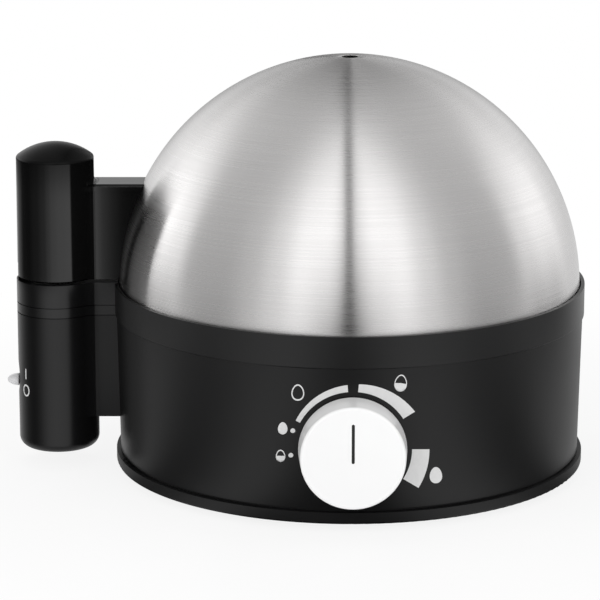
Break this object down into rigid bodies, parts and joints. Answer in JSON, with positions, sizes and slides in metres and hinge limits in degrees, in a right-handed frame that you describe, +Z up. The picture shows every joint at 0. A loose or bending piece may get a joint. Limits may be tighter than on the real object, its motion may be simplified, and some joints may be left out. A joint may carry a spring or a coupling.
{
  "type": "electric egg cooker",
  "caption": "Round electric egg cooker with a domed steel lid on a hinged side arm, a front dial, a heated water dish and a lift-out egg tray.",
  "frame": {"origin": "middle of the footprint's bounding box, on the table", "axes": "+Z up, dial at -Y, side column and hinge at -X"},
  "size_m": [0.2282, 0.1976, 0.163],
  "materials": {
    "housing_black": "satin",
    "rim_black": "satin",
    "cover_black": "satin",
    "arm_black": "gloss",
    "screw_steel": "satin",
    "foot_rubber": "matte",
    "seal_rubber": "matte",
    "dish_metal": "satin",
    "element_steel": "satin",
    "sensor_body": "matte",
    "board_green": "satin",
    "component_black": "satin",
    "block_white": "satin",
    "gland_black": "matte",
    "dome_steel": "brushed round the dome",
    "knob_white": "gloss",
    "pointer_black": "satin",
    "shaft_metal": "satin",
    "slider_grey": "satin",
    "tray_black": "satin"
  },
  "bodies": {
    "base": {"base_housing": "housing_black", "column_housing": "housing_black", "rim_ring": "rim_black", "column_collar": "rim_black", "bottom_cover": "cover_black", "cover_screws": "screw_steel", "rubber_feet": "foot_rubber", "dish_seal": "seal_rubber", "heating_dish": "dish_metal", "heat_spreader": "dish_metal", "heating_element": "element_steel", "element_clamps": "element_steel", "thermostat": "sensor_body", "thermal_fuse": "sensor_body", "potentiometer": "component_black", "control_board": "board_green", "board_screws": "screw_steel", "buzzer": "component_black", "terminal_block": "block_white", "switch_body": "component_black", "cord_gland": "gland_black", "hinge_pin": "screw_steel"},
    "lid": {"lid_arm": "arm_black", "arm_cover": "arm_black", "column_cap": "arm_black", "lid_dome": "dome_steel", "backing_plate": "dome_steel", "dome_screws": "screw_steel"},
    "dial": {"knob": "knob_white", "knob_pointer": "pointer_black", "knob_shaft": "shaft_metal"},
    "slider": {"switch_slider": "slider_grey"},
    "tray": {"egg_tray": "tray_black", "tray_legs": "tray_black", "tray_grips": "tray_black"}
  },
  "joints": [
    {"name": "lid_hinge", "type": "hinge", "parent": "base", "child": "lid", "pos_m": [-0.10655, 0.00544, 0.0785], "axis": [0, -1, 0], "range_deg": [0, 100]},
    {"name": "dial_turn", "type": "hinge", "parent": "base", "child": "dial", "pos_m": [0.0216, -0.08696, 0.0314], "axis": [0, 1, 0], "range_deg": [-95, 120]},
    {"name": "switch_slide", "type": "slide", "parent": "base", "child": "slider", "axis": [0, 0, 1], "range_m": [0, 0.004]},
    {"name": "tray_lift", "type": "slide", "parent": "base", "child": "tray", "axis": [0, 0, 1], "range_m": [0, 0.024]}
  ]
}
